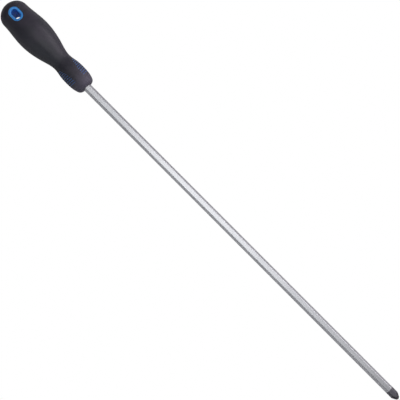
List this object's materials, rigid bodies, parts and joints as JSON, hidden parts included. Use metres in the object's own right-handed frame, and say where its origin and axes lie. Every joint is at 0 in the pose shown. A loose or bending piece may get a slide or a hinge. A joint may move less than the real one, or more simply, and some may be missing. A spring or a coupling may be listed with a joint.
{
  "type": "cross-head screwdriver",
  "caption": "Long cross-head screwdriver: hexagon steel blade, black cross point, bellied two-colour moulded handle with a lined hang hole and finger ribs.",
  "frame": {"origin": "end of the cross point, on the axis of the blade", "axes": "+X along the blade, out of the point; +Z along the hang hole and out of a flat of the hexagon; +Y to the side"},
  "size_m": [0.5046, 0.0318, 0.0318],
  "materials": {
    "blade_steel": "satin plated, with a black finish on the last 12 mm",
    "first_shot_plastic": "as moulded, hidden",
    "blue_plastic": "semi gloss",
    "grip_rubber": "fine matt texture"
  },
  "bodies": {
    "root": {"blade": "blade_steel", "inner_core": "first_shot_plastic", "handle_core": "blue_plastic", "soft_grip": "grip_rubber"}
  },
  "joints": []
}
